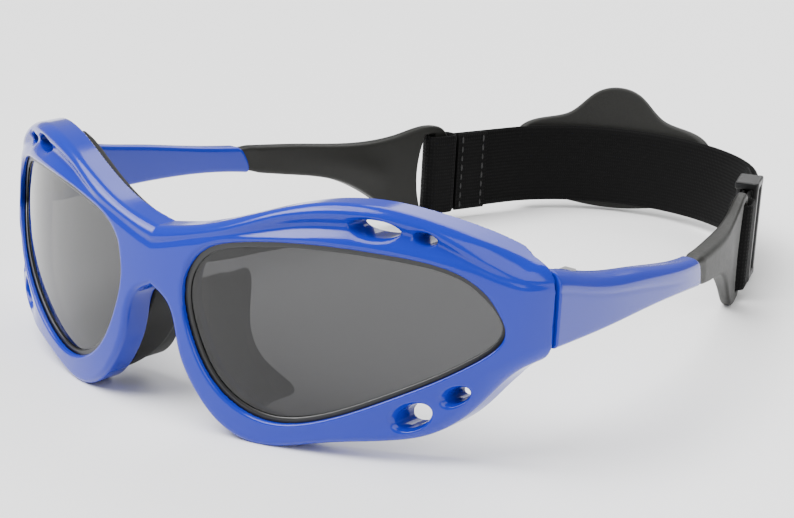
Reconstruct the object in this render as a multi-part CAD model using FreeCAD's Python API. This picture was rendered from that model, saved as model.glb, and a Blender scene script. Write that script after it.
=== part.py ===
import FreeCAD, Part

import math
import os

V = FreeCAD.Vector

# Wraparound sport sunglasses with a head strap, standing on a table as worn.
# +X is the wearer's left, +Y points back from the lenses to the strap, +Z is up.
# The pieces are drawn with the bridge at y = 0 and the lowest points at z = 0;
# the last step moves them all so that y = 0 is the middle of the whole object.

# ---- Overall sizes (mm) ----
front_half_width = 66.6      # middle of the bridge to the outside of a hinge corner
front_height = 46.4          # lowest point of a rim to the top of the brow
wrap_share = 1.3363          # curve of the front around the face, times its half width
vertical_radius = 177.0      # gentle curve of the front from brow to cheek
temple_reach = 116.2         # hinge axis straight back to the end of a tip
temple_inset = 22.4          # how far a temple comes inward along its length

# ---- Front frame ----
rim_depth = 6.4              # front to back through the rim
bezel_depth = 1.2            # rim in front of the lens groove
groove_width = 2.9           # lens groove, front to back
groove_reach = 1.4           # groove cut outward from the visible opening
foot_flat = 0.25             # depth of the small flats the piece stands on

# ---- Lenses and gaskets ----
lens_thickness = 1.8
lens_overlap = 0.6           # lens edge hidden behind the rim
gasket_lip = 1.0             # black line seen inside the rim
gasket_fit = 0.05            # gasket to groove, all round

# ---- Nose and brow pads ----
nose_pad_depth = 10.0        # how far a nose pad stands behind the rim
brow_pad_depth = 3.2
brow_pad_height = 6.0
brow_pad_half_width = 37.0

# ---- Hinges ----
temple_root_thickness = 4.6
hinge_inset = 1.0            # hinge axis inward of the temple's inner face
knuckle_radius = 1.9
knuckle_height = 2.9
knuckle_gap = 0.15
barrel_bottom = 25.0
screw_radius = 0.75
screw_clearance = 0.05
screw_head_radius = 1.5
screw_head_height = 0.7
leaf_thickness = 1.1
front_leaf_width = 4.6       # plate let into the end face of the front
leaf_tab_length = 8.0        # tab buried in the temple
leaf_tab_thickness = 2.3
leaf_tab_inset = 0.35        # hinge axis out to the tab
leaf_tab_lead = 0.4          # tab ahead of the hinge axis, inside the knuckle
end_piece_length = 2.4       # hinge corner straight back to the seam
seam_gap = 0.4               # open line between front and temple
swing_clearance = 0.4        # around the barrel

# ---- Temples and tips ----
temple_mid_thickness = 4.2
tip_end_thickness = 2.6
temple_root_top = 36.0
temple_root_bottom = 21.8
neck_top = 25.2              # top edge where the blue part meets the tip
neck_bottom = 19.0
blue_length = 57.5           # hinge axis to the blue and black seam
seam_lean = 2.6              # the seam's foot is this much further back
tongue_length = 13.0
tongue_thickness = 1.8
tongue_height = 3.4
bar_width = 5.0              # end bar that carries the webbing
slot_width = 4.8
slot_bulge = 2.0             # bow of the slot towards the front
bar_web = 2.2                # plastic above and below the slot
bar_slant = 1.0              # room for the end bar's slanting faces inside its loop

# ---- Strap ----
strap_width = 20.0
strap_thickness = 1.2
strap_play = 0.4             # slot longer than the webbing at each end
strap_clearance = 0.15       # webbing to plastic
strap_bend_share = 0.8895    # bend round the back of the head, times the end bar's distance out
strap_lead = 7.0             # end bars to the middle of the bend, straight back
knee_angle = 69.0            # where the webbing flexes, from +X round the bend
bar_ring = 4.7               # webbing this far from the bar belongs to its loop
fold_over = 9.0              # sewn doubled end on the right
tail_length = 34.0           # loose end on the left
stitch_radius = 0.22
stitch_pitch = 2.2

# ---- Slider ----
slider_length = 9.0
slider_rail = 2.0
slider_bar = 2.2
slider_thickness = 1.3
slider_start = 9.9           # end bar to the near edge of the slider

# ---- Head pad ----
pad_thickness = 4.0
pad_centre_angle = 115.0
pad_length = 58.0
pad_margin = 1.2             # pad below the webbing
pad_shoulder = 2.0           # pad above the webbing at its shoulders
pad_hump = 10.5              # hump above the webbing
hump_width = 26.0

# ---- Derived places ----
flare_height = strap_width + 2 * strap_play + 2 * bar_web
wrap_radius = wrap_share * front_half_width
hinge_x = front_half_width - temple_root_thickness - hinge_inset
corner_y = wrap_radius - math.sqrt(wrap_radius ** 2 - front_half_width ** 2)
seam_y = corner_y + end_piece_length
hinge_y = seam_y + knuckle_radius + seam_gap / 2
tip_end_y = hinge_y + temple_reach
barrel_height = 3 * knuckle_height + 2 * knuckle_gap
strap_bottom = bar_web + strap_play / 2
strap_top = strap_bottom + strap_width
tall = 90.0                  # taller than the whole object, for cutting blocks


def spline(points, closed=False, start=None, end=None):
    curve = Part.BSplineCurve()
    if start is not None:
        curve.interpolate(points, InitialTangent=start, FinalTangent=end)
    else:
        curve.interpolate(points, PeriodicFlag=closed)
    return curve.toShape()


def face(edges):
    return Part.Face(Part.Wire(Part.__sortEdges__(edges)))


def polygon(points):
    return Part.Face(Part.makePolygon(points + [points[0]]))


def mirrored(shape):
    return shape.mirror(V(0, 0, 0), V(1, 0, 0))


# ---- The curved front ----

def curved_layer(depth_in, depth_out, bottom=-10.0, top=tall):
    """Part of the wrapped front between two depths behind its outer face."""
    middle = front_height * 0.45

    def face_arc(depth):
        radius = vertical_radius - depth
        heights = (bottom, middle, top)
        backs = [vertical_radius - math.sqrt(radius ** 2 - (z - middle) ** 2) for z in heights]
        return [V(0, y, z) for y, z in zip(backs, heights)]

    front = face_arc(depth_in)
    back = face_arc(depth_out)
    section = face([
        Part.Arc(*front).toShape(),
        Part.LineSegment(front[2], back[2]).toShape(),
        Part.Arc(*back).toShape(),
        Part.LineSegment(front[0], back[0]).toShape(),
    ])
    half_sweep = 62.0
    section.rotate(V(0, wrap_radius, 0), V(0, 0, 1), -half_sweep)
    return section.revolve(V(0, wrap_radius, 0), V(0, 0, 1), 2 * half_sweep)


def through(outline):
    """A prism that runs front to back through the curved front."""
    flat = outline.copy()
    flat.translate(V(0, -20, 0))
    return flat.extrude(V(0, 80, 0))


def at_front(points):
    """Shares of the half width and the height, as points on the drawing plane."""
    return [V(x * front_half_width, 0, z * front_height) for x, z in points]


# Visible lens opening, from the nose corner over the top to the outer corner
# and back along the bottom.
OPENING = [
    (0.120, 0.620), (0.165, 0.725), (0.287, 0.795), (0.465, 0.825), (0.664, 0.815),
    (0.820, 0.752), (0.883, 0.660), (0.914, 0.530), (0.856, 0.425), (0.680, 0.262),
    (0.510, 0.140), (0.363, 0.103), (0.231, 0.190), (0.141, 0.395),
]
BROW_LINE = [
    (0.0, 0.780), (0.134, 0.820), (0.321, 0.915), (0.490, 0.985), (0.600, 0.990),
    (0.720, 0.955), (0.860, 0.870), (0.950, 0.795), (1.060, 0.772),
]
NOSE_AND_CHEEK_LINE = [
    (0.0, 0.545), (0.055, 0.500), (0.099, 0.320), (0.150, 0.170), (0.225, 0.052),
    (0.323, -0.006), (0.480, 0.032), (0.640, 0.078), (0.750, 0.112), (0.835, 0.205),
    (0.886, 0.310), (0.945, 0.405), (1.060, 0.475),
]


def opening_wire(offset=0.0):
    points = at_front(OPENING)
    wire = Part.Wire([spline(points, closed=True)])
    if abs(offset) < 1e-6:
        return wire
    count = 40
    edge = wire.Edges[0]
    centre = V(sum(p.x for p in points) / len(points), 0, sum(p.z for p in points) / len(points))
    moved = []
    for i in range(count):
        t = edge.FirstParameter + (edge.LastParameter - edge.FirstParameter) * i / count
        place = edge.valueAt(t)
        run = edge.tangentAt(t)
        out = V(-run.z, 0, run.x)
        if out.dot(place - centre) < 0:
            out = -out
        moved.append(place + out * offset)
    return Part.Wire([spline(moved, closed=True)])


def opening_face(offset=0.0):
    return Part.Face(opening_wire(offset))


def vent(x, z, half_long, half_short, slope):
    """An oval air hole through the rim, drawn by its middle and half axes."""
    middle = V(x * front_half_width, 0, z * front_height)
    oval = Part.Ellipse(middle, half_long, half_short).toShape()
    oval.rotate(middle, V(1, 0, 0), 90)
    oval.rotate(middle, V(0, 1, 0), -slope)
    return through(Part.Face(Part.Wire([oval])))


VENTS = [
    # x share, z share, half length, half height, slope in degrees
    (0.608, 0.908, 4.1, 1.5, -4.0),
    (0.724, 0.886, 1.9, 1.0, -14.0),
    (0.728, 0.196, 3.1, 2.0, 38.0),
    (0.821, 0.291, 2.0, 1.3, 38.0),
]


def half_silhouette():
    top = spline(at_front(BROW_LINE))
    bottom = spline(at_front(NOSE_AND_CHEEK_LINE))
    ends = [at_front([BROW_LINE[i], NOSE_AND_CHEEK_LINE[i]]) for i in (0, -1)]
    sides = [Part.LineSegment(a, b).toShape() for a, b in ends]
    return face([top, bottom] + sides)


def hinge_barrel(radius, bottom, height, side=1):
    return Part.makeCylinder(radius, height, V(side * hinge_x, hinge_y, bottom))


def front_leaf_plate():
    """Flat plate let into the end face of the front, level with it."""
    return Part.makeBox(front_leaf_width, leaf_thickness, barrel_height,
                        V(hinge_x - leaf_thickness, seam_y - leaf_thickness, barrel_bottom))


def make_front_frame():
    half = through(half_silhouette())
    cutters = [through(opening_face())]
    cutters += [vent(*sizes) for sizes in VENTS]
    groove = through(opening_face(groove_reach)).common(
        curved_layer(bezel_depth, bezel_depth + groove_width))
    cutters.append(groove)
    cutters.append(Part.makeBox(60, 60, tall, V(hinge_x - 20, seam_y, -5)))
    cutters.append(Part.makeBox(60, 120, tall, V(front_half_width, -5, -5)))
    cutters.append(hinge_barrel(knuckle_radius + swing_clearance, 0, tall))
    cutters.append(front_leaf_plate())
    half = half.common(curved_layer(0, rim_depth))
    for cutter in cutters:
        half = half.cut(cutter)
    whole = half.fuse(mirrored(half)).removeSplitter()
    floor = Part.makeBox(200, 200, 20, V(-100, -50, -20))
    return whole.cut(floor)


def make_lens():
    depth = bezel_depth + (groove_width - lens_thickness) / 2
    return through(opening_face(lens_overlap)).common(
        curved_layer(depth, depth + lens_thickness))


def make_gasket(lens):
    ring = opening_face(groove_reach - gasket_fit).cut(opening_face(-gasket_lip))
    layer = curved_layer(bezel_depth + gasket_fit, bezel_depth + groove_width - gasket_fit)
    return through(ring).common(layer).cut(lens)


def make_nose_pad():
    """Soft rubber wall on the nose side that stands back from the rim."""
    band = at_front([(0.118, 0.585), (0.141, 0.400), (0.231, 0.195), (0.310, 0.125),
                     (0.260, 0.075), (0.170, 0.130), (0.105, 0.330), (0.080, 0.560)])
    wall = through(Part.Face(Part.Wire([spline(band, closed=True)])))
    shares = [(0.0, 0.70), (0.55, 0.60), (0.95, 0.45), (1.0, 0.32), (0.70, 0.15), (0.0, 0.03)]
    back = [V(-5, rim_depth + 1.0 + nose_pad_depth * d, front_height * z) for d, z in shares]
    front = Part.makePolygon([back[-1], V(-5, 0, back[-1].z), V(-5, 0, back[0].z), back[0]])
    side = face([spline(back)] + front.Edges)
    wall = wall.common(side.extrude(V(60, 0, 0)))
    return wall.common(curved_layer(rim_depth, rim_depth + nose_pad_depth + 4))


def make_brow_pad():
    """Rubber strip along the inside of the brow and the top of the bridge."""
    top = [(x, z - 0.035) for x, z in BROW_LINE[:5]]
    share = brow_pad_half_width / front_half_width
    drop = brow_pad_height / front_height
    shrink = [1.0, 1.0, 1.0, 0.8, 0.1]
    low = [(x, z - drop * s) for (x, z), s in zip(top, shrink)]
    scale = share / top[-1][0]
    top = at_front([(x * scale, z) for x, z in top])
    low = at_front([(x * scale, z) for x, z in low])
    half = face([spline(top), spline(low), Part.LineSegment(top[0], low[0]).toShape(),
                 Part.LineSegment(top[-1], low[-1]).toShape()])
    half = through(half).common(curved_layer(rim_depth, rim_depth + brow_pad_depth))
    return half.fuse(mirrored(half)).removeSplitter()


# ---- Temples and tips ----
# Middle line of a temple seen from above: share of the reach, share of the inset.
TEMPLE_PLAN = [(0.0, 0.0), (0.15, 0.01), (0.30, 0.05), (0.46, 0.14), (0.62, 0.35),
               (0.80, 0.66), (1.0, 1.0)]


def temple_thickness(share):
    if share < 0.5:
        return temple_root_thickness + (temple_mid_thickness - temple_root_thickness) * share * 2
    return temple_mid_thickness + (tip_end_thickness - temple_mid_thickness) * (share - 0.5) * 2


def temple_centre(share):
    """Middle of the left temple in plan, at a share of its reach."""
    for (s0, i0), (s1, i1) in zip(TEMPLE_PLAN, TEMPLE_PLAN[1:]):
        if share <= s1:
            inset = i0 + (i1 - i0) * (share - s0) / (s1 - s0)
            break
    y = hinge_y + temple_reach * share
    return V(front_half_width - temple_root_thickness / 2 - temple_inset * inset, y, 0)


def plan_strip(thickness=None, first=0.0, last=1.0):
    """Top view of the left temple: a strip of varying thickness."""
    shares = [s for s, _ in TEMPLE_PLAN if first <= s <= last]
    shares = sorted(set([first] + shares + [last]))
    middle = spline([temple_centre(s) for s in shares])
    outer = []
    inner = []
    for s, place in zip(shares, [temple_centre(s) for s in shares]):
        run = middle.tangentAt(middle.Curve.parameter(place))
        out = V(run.y, -run.x, 0)
        half = (thickness or temple_thickness(s)) / 2
        outer.append(place + out * half)
        inner.append(place - out * half)
    strip = face([spline(outer), spline(inner), Part.LineSegment(outer[0], inner[0]).toShape(),
                  Part.LineSegment(outer[-1], inner[-1]).toShape()])
    strip.translate(V(0, 0, -5))
    return strip.extrude(V(0, 0, tall))


def side_points(shape):
    return [V(-5, y, z) for y, z in shape]


def temple_side():
    """Side view of a temple with its flared tip."""
    neck_y = hinge_y + blue_length
    start = seam_y + seam_gap
    blue = neck_y - start
    drop = temple_root_top - neck_top
    tip = tip_end_y - neck_y
    top = [(start, temple_root_top), (start + blue * 0.23, neck_top + drop * 0.68),
           (start + blue * 0.50, neck_top + drop * 0.42), (start + blue * 0.82, neck_top + drop * 0.12),
           (neck_y, neck_top), (neck_y + tip * 0.28, neck_top - 1.4),
           (neck_y + tip * 0.56, flare_height - 2.7), (neck_y + tip * 0.76, flare_height - 1.5),
           (neck_y + tip * 0.88, flare_height - 0.05), (neck_y + tip * 0.955, flare_height - 1.0),
           (tip_end_y, flare_height - 5.0)]
    rise = temple_root_bottom - neck_bottom
    bottom = [(start, temple_root_bottom), (start + blue * 0.30, neck_bottom + rise * 0.85),
              (start + blue * 0.60, neck_bottom + rise * 0.75), (neck_y, neck_bottom),
              (neck_y + tip * 0.20, neck_bottom - 2.0), (neck_y + tip * 0.44, neck_bottom - 5.0),
              (neck_y + tip * 0.58, neck_bottom * 0.52), (neck_y + tip * 0.70, neck_bottom * 0.24),
              (neck_y + tip * 0.80, foot_flat), (neck_y + tip * 0.88, -0.3),
              (neck_y + tip * 0.95, foot_flat), (tip_end_y, 4.6)]
    top = side_points(top)
    bottom = side_points(bottom)
    return face([spline(top), spline(bottom), Part.LineSegment(top[0], bottom[0]).toShape(),
                 Part.LineSegment(top[-1], bottom[-1]).toShape()])


def across(flat):
    return flat.extrude(V(100, 0, 0))


def temple_blank():
    blank = across(temple_side()).common(plan_strip(first=-0.05))
    floor = Part.makeBox(200, 300, 20, V(-100, -50, -20))
    return blank.cut(floor)


def behind_seam():
    """Everything behind the leaning seam between blue and black."""
    y = hinge_y + blue_length
    half = seam_lean / 2
    foot = V(-5, y + half * 9, neck_bottom - 8 * (neck_top - neck_bottom) / 2)
    head = V(-5, y - half * 9, neck_top + 8 * (neck_top - neck_bottom) / 2)
    far = tip_end_y + 20
    return across(polygon([foot, head, V(-5, far, head.z), V(-5, far, foot.z)]))


def make_tongue():
    """Square core of the blue temple that the soft tip is moulded over."""
    y = hinge_y + blue_length
    middle = (neck_top + neck_bottom) / 2 - 0.4
    low = middle - tongue_height / 2
    high = middle + tongue_height / 2
    back = y + tongue_length
    flat = polygon([V(-5, y - 6, low), V(-5, back, low - 1.0), V(-5, back, high - 1.0),
                    V(-5, y - 6, high)])
    return across(flat).common(plan_strip(tongue_thickness))


def temple_leaf_plate():
    """Flat tab buried in the temple behind the barrel."""
    return Part.makeBox(leaf_tab_thickness, leaf_tab_length, barrel_height,
                        V(hinge_x + leaf_tab_inset, hinge_y - leaf_tab_lead, barrel_bottom))


def make_temple(blank, leaf):
    blue = blank.cut(behind_seam()).fuse(make_tongue()).removeSplitter()
    blue = blue.cut(hinge_barrel(knuckle_radius + swing_clearance, 0, tall))
    return blue.cut(leaf)


def slot_cutter():
    """D-shaped strap slot: straight along the bar, bowed towards the front."""
    back = tip_end_y - bar_width
    front = back - slot_width + slot_bulge
    low = bar_web
    high = flare_height - bar_web
    middle = (low + high) / 2
    bow = Part.Arc(V(-5, front, high), V(-5, front - slot_bulge, middle), V(-5, front, low))
    frame = Part.makePolygon([V(-5, front, low), V(-5, back, low), V(-5, back, high),
                              V(-5, front, high)])
    return across(face([bow.toShape()] + frame.Edges))


def make_tip(blank, tongue):
    return blank.common(behind_seam()).cut(tongue).cut(slot_cutter())


# ---- Hinges ----

def knuckles(indices, bore):
    parts = []
    for i in indices:
        z = barrel_bottom + i * (knuckle_height + knuckle_gap)
        ring = hinge_barrel(knuckle_radius, z, knuckle_height)
        parts.append(ring.cut(hinge_barrel(bore, z - 1, knuckle_height + 2)))
    return parts


def joined(parts):
    whole = parts[0]
    for piece in parts[1:]:
        whole = whole.fuse(piece)
    return whole.removeSplitter()


def make_front_leaf():
    bore = hinge_barrel(screw_radius + screw_clearance, 0, tall)
    web = Part.makeBox(leaf_thickness * 1.4, hinge_y - seam_y, barrel_height,
                       V(hinge_x - leaf_thickness * 0.7, seam_y, barrel_bottom))
    middle_z = barrel_bottom + knuckle_height
    reach = knuckle_radius + seam_gap / 2
    gap = Part.makeBox(8, reach + 3, knuckle_height + 2 * knuckle_gap,
                       V(hinge_x - 4, hinge_y - reach, middle_z))
    web = web.cut(bore).cut(gap)
    return joined([front_leaf_plate(), web] + knuckles([0, 2], screw_radius + screw_clearance))


def make_temple_leaf():
    bore = hinge_barrel(screw_radius + screw_clearance, 0, tall)
    plate = temple_leaf_plate().cut(bore)
    sweep = hinge_barrel(knuckle_radius + swing_clearance, 0, tall)
    keep = hinge_barrel(knuckle_radius + swing_clearance, barrel_bottom + knuckle_height
                        + knuckle_gap, knuckle_height)
    plate = plate.cut(sweep.cut(keep))
    return joined([plate] + knuckles([1], screw_radius + screw_clearance))


def make_screw():
    shank = hinge_barrel(screw_radius, barrel_bottom, barrel_height)
    head = hinge_barrel(screw_head_radius, barrel_bottom + barrel_height, screw_head_height)
    drive = Part.makeBox(2 * screw_head_radius + 1, 0.35, 0.4,
                         V(hinge_x - screw_head_radius - 0.5, hinge_y - 0.175,
                           barrel_bottom + barrel_height + screw_head_height - 0.3))
    return joined([shank, head]).cut(drive)


# ---- Strap ----
# The strap is drawn in plan: straight from each end bar, tangent to the round bend.
bar_y = tip_end_y - bar_width / 2
bar_x = temple_centre((bar_y - hinge_y) / temple_reach).x
strap_radius = strap_bend_share * bar_x
bend_y = bar_y + strap_lead


def tangent_angle():
    """Direction, from the bend's middle, of the point where the straight run meets it."""
    distance = math.hypot(bar_x, bar_y - bend_y)
    toward_bar = math.degrees(math.atan2(bar_y - bend_y, bar_x))
    return toward_bar + math.degrees(math.acos(strap_radius / distance))


def on_bend(angle, radius):
    a = math.radians(angle)
    return V(radius * math.cos(a), bend_y + radius * math.sin(a), 0)


def run_direction():
    """Left straight run, from the bar towards the bend."""
    a = math.radians(tangent_angle())
    return V(-math.sin(a), math.cos(a), 0)


def along_run(distance, sideways=0.0):
    """A point beside the left straight run; sideways is outward from the head."""
    run = run_direction()
    return V(bar_x, bar_y, 0) + run * distance + V(run.y, -run.x, 0) * sideways


def run_slab(start, end, near, far, bottom, top):
    """A block along the left run between two distances and two sideways offsets."""
    flat = polygon([along_run(start, near), along_run(end, near), along_run(end, far),
                    along_run(start, far)])
    flat.translate(V(0, 0, bottom))
    return flat.extrude(V(0, 0, top - bottom))


def bend_slab(first, last, near, far, bottom, top):
    """A curved block round the bend between two angles and two offsets."""
    inner = strap_radius + near
    outer = strap_radius + far
    middle = (first + last) / 2
    flat = face([
        Part.Arc(*[on_bend(a, outer) for a in (first, middle, last)]).toShape(),
        Part.Arc(*[on_bend(a, inner) for a in (first, middle, last)]).toShape(),
        Part.LineSegment(on_bend(first, inner), on_bend(first, outer)).toShape(),
        Part.LineSegment(on_bend(last, inner), on_bend(last, outer)).toShape(),
    ])
    flat.translate(V(0, 0, bottom))
    return flat.extrude(V(0, 0, top - bottom))


def run_length():
    return math.sqrt(bar_x ** 2 + (bar_y - bend_y) ** 2 - strap_radius ** 2)


half_web = strap_thickness / 2


def make_webbing_left():
    straight = run_slab(bar_ring, run_length(), -half_web, half_web, strap_bottom, strap_top)
    bend = bend_slab(tangent_angle(), knee_angle - 0.3, -half_web, half_web,
                     strap_bottom, strap_top)
    return joined([straight, bend])


def make_webbing_right():
    straight = mirrored(run_slab(bar_ring, run_length(), -half_web, half_web,
                                 strap_bottom, strap_top))
    bend = bend_slab(knee_angle, 180 - tangent_angle(), -half_web, half_web,
                     strap_bottom, strap_top)
    return joined([straight, bend])


def make_fold_over():
    """Doubled end on the right, inside the main webbing."""
    near = -half_web - strap_clearance - strap_thickness
    return mirrored(run_slab(bar_ring, bar_ring + fold_over, near, near + strap_thickness,
                             strap_bottom, strap_top))


def make_tail():
    """Loose end on the left, inside the main webbing."""
    near = -half_web - strap_clearance - strap_thickness
    far = near + strap_thickness
    inner = strap_radius + near
    straight = run_slab(bar_ring, run_length(), near, far, strap_bottom, strap_top)
    spare = tail_length - run_length()
    turn = math.degrees(spare / inner)
    end = tangent_angle() + turn
    bend = bend_slab(tangent_angle(), end, near, far, strap_bottom, strap_top)
    return joined([straight, bend])


def bar_centre():
    return V(bar_x, bar_y, 0)


def make_bar_loop():
    """Webbing wrapped once round the left end bar."""
    run = temple_run_at_bar()
    half_long = bar_width / 2 + bar_slant + strap_clearance
    half_thick = tip_end_thickness / 2 + bar_slant / 2 + strap_clearance

    def stadium(grow, height, bottom):
        long = half_long + grow
        thick = half_thick + grow
        block = Part.makeBox(2 * thick, 2 * long, height, V(-thick, -long, bottom))
        block = block.makeFillet(thick * 0.95, [e for e in block.Edges
                                                if abs(e.tangentAt(e.FirstParameter).z) > 0.9])
        block.rotate(V(0, 0, 0), V(0, 0, 1), math.degrees(math.atan2(-run.x, run.y)))
        block.translate(bar_centre())
        return block

    ring = stadium(strap_thickness * 0.75, strap_width, strap_bottom)
    return ring.cut(stadium(0.0, strap_width + 2, strap_bottom - 1))


def temple_run_at_bar():
    share = (bar_y - hinge_y) / temple_reach
    run = temple_centre(share + 0.02) - temple_centre(share - 0.02)
    return run.normalize()


def make_slider():
    """Three-bar slider: the webbing passes between its end bars and middle bar."""
    start = slider_start
    end = start + slider_length
    low = strap_bottom - slider_rail
    high = strap_top + slider_rail
    layers = half_web + strap_clearance
    tail_side = -layers - strap_thickness - strap_clearance
    outer = (layers, layers + slider_thickness)
    inner = (tail_side - slider_thickness, tail_side)
    pieces = [run_slab(start, start + slider_bar, *outer, low, high),
              run_slab(end - slider_bar, end, *outer, low, high)]
    middle = (start + end - slider_bar) / 2
    pieces.append(run_slab(middle, middle + slider_bar, *inner, low, high))
    rail = slider_rail - strap_play / 2
    for bottom, top in ((low, low + rail), (high - rail, high)):
        pieces.append(run_slab(start, end, inner[0], outer[1], bottom, top))
    return joined(pieces)


def make_stitching():
    """Thread rows that close the doubled end on the right."""
    side = -half_web - strap_clearance - strap_thickness
    rows = []
    for distance in (bar_ring + 1.2, bar_ring + fold_over - 1.4):
        z = strap_bottom + 1.5
        while z < strap_top - 1.5:
            place = along_run(distance, side - stitch_radius)
            rows.append(Part.makeCylinder(stitch_radius, stitch_pitch * 0.65,
                                          V(place.x, place.y, z)))
            z += stitch_pitch
    return mirrored(Part.makeCompound(rows))


# ---- Head pad ----

def make_head_pad():
    """Foam pad outside the webbing, with a hump above it and a lobe below."""
    inner = half_web + strap_clearance
    middle_radius = strap_radius + inner + pad_thickness / 2
    half_angle = math.degrees(pad_length / 2 / middle_radius)
    first = pad_centre_angle - half_angle
    last = pad_centre_angle + half_angle
    slab = bend_slab(first, last, inner, inner + pad_thickness, 0.2, tall / 2)
    return slab.common(pad_profile(middle_radius))


def pad_profile(middle_radius):
    """Outline of the pad seen square on from behind, as a deep block."""
    half = pad_length / 2
    hump = hump_width / 2
    low = strap_bottom - pad_margin
    shoulder = strap_top + pad_shoulder
    peak = strap_top + pad_hump
    # (distance along the pad from its middle, height)
    top = [(-half, strap_bottom + 13), (-half * 0.92, strap_top - 1.0), (-half * 0.62, shoulder),
           (-hump * 0.95, shoulder + 1.4), (-hump * 0.45, peak - 1.6), (0, peak),
           (hump * 0.45, peak - 1.6), (hump * 0.95, shoulder + 1.4), (half * 0.62, shoulder),
           (half * 0.92, strap_top - 1.0), (half, strap_bottom + 13)]
    bottom = [(half, strap_bottom + 9), (half * 0.90, strap_bottom + 1.0), (half * 0.55, low + 1.2),
              (half * 0.25, low), (-half * 0.25, low), (-half * 0.55, low + 1.2),
              (-half * 0.90, strap_bottom + 1.0), (-half, strap_bottom + 9)]
    facing = on_bend(pad_centre_angle, 1.0) - V(0, bend_y, 0)
    across_dir = V(-facing.y, facing.x, 0)

    def flat(point):
        distance, z = point
        angle = distance / middle_radius
        return across_dir * ((strap_radius + half_web) * math.sin(angle)) + V(0, bend_y, z)
    outline = spline([flat(p) for p in top + bottom], closed=True)
    sheet = Part.Face(Part.Wire([outline]))
    return sheet.extrude(facing * 60)


def make_all():
    front = make_front_frame()
    lens = make_lens()
    gasket = make_gasket(lens)
    nose = make_nose_pad()
    blank = temple_blank()
    tongue = make_tongue().common(behind_seam())
    temple_leaf = make_temple_leaf()
    temple = make_temple(blank, temple_leaf_plate())
    tip = make_tip(blank, tongue)
    nodes = {
        "front_frame": front,
        "brow_pad": make_brow_pad(),
        "strap_slider": make_slider(),
        "strap_webbing_left": make_webbing_left(),
        "strap_tail": make_tail(),
        "strap_webbing_right": make_webbing_right(),
        "strap_fold_over": make_fold_over(),
        "strap_stitching": make_stitching(),
        "head_pad": make_head_pad(),
    }
    pairs = {
        "lens": lens,
        "lens_gasket": gasket,
        "nose_pad": nose,
        "temple": temple,
        "temple_tip": tip,
        "hinge_front_leaf": make_front_leaf(),
        "hinge_temple_leaf": temple_leaf,
        "hinge_screw": make_screw(),
        "strap_bar_loop": make_bar_loop(),
    }
    for name, shape in pairs.items():
        nodes[name + "_left"] = shape
        nodes[name + "_right"] = mirrored(shape)
    return nodes


nodes = make_all()
os.makedirs("parts", exist_ok=True)
back_y = bend_y + strap_radius + half_web + strap_clearance + pad_thickness
shift = V(0, -back_y / 2, 0)
for name, shape in nodes.items():
    placed = shape.copy()
    placed.translate(shift)
    placed.exportStep("parts/" + name + ".step")
    box = placed.BoundBox
    print(f"{name:22s} solids {len(placed.Solids)} valid {placed.isValid()} volume {placed.Volume:9.1f}",
          f"x {box.XMin:7.2f} {box.XMax:7.2f} y {box.YMin:7.2f} {box.YMax:7.2f}",
          f"z {box.ZMin:6.2f} {box.ZMax:6.2f}")
print("hinge axis", round(hinge_x, 3), round(hinge_y + shift.y, 3))
print("end bar", round(bar_x, 3), round(bar_y + shift.y, 3))
knee = on_bend(knee_angle, strap_radius)
print("knee", round(knee.x, 3), round(knee.y + shift.y, 3))
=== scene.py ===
# %% [markdown]
# Wraparound sport sunglasses with a head strap, built piece by piece around
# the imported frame. Lengths in this script are millimetres until a mesh is
# made; x runs to the wearer's left, y back towards the strap, z up. The front
# and the temples are drawn with the bridge at y = 0, as on the bench.

# %% Start
import math

import bpy
import numpy as np
from mathutils import Matrix, Vector


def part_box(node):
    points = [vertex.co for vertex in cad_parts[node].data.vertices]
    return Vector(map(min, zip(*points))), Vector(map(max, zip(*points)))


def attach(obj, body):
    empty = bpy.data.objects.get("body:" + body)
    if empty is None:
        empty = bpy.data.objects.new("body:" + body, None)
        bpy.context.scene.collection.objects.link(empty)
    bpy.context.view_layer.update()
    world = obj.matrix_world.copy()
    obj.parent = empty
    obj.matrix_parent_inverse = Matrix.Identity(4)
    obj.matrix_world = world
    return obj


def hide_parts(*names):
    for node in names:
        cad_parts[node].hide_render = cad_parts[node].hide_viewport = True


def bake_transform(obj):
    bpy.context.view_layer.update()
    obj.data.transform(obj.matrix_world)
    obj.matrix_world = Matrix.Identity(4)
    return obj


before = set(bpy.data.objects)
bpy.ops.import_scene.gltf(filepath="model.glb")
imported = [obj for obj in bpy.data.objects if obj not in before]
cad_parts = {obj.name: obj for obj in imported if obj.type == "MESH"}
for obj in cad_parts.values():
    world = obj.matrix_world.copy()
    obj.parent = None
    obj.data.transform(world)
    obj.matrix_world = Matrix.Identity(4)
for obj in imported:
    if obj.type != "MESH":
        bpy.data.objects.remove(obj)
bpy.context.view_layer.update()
BENCH_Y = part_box("front_frame")[0].y * 1000

# %% [markdown]
# One helper turns points and faces into a finished Blender piece. Curved
# moulded parts also get their shading normals worked out from the shape
# itself, so a gloss finish reflects without ripples. The right-hand twin of a
# piece is the same mesh mirrored, exactly as a mould maker cuts the two
# cavities.

# %% Making pieces


def unit(v):
    return v / np.maximum(np.linalg.norm(v, axis=-1, keepdims=True), 1e-9)


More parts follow.
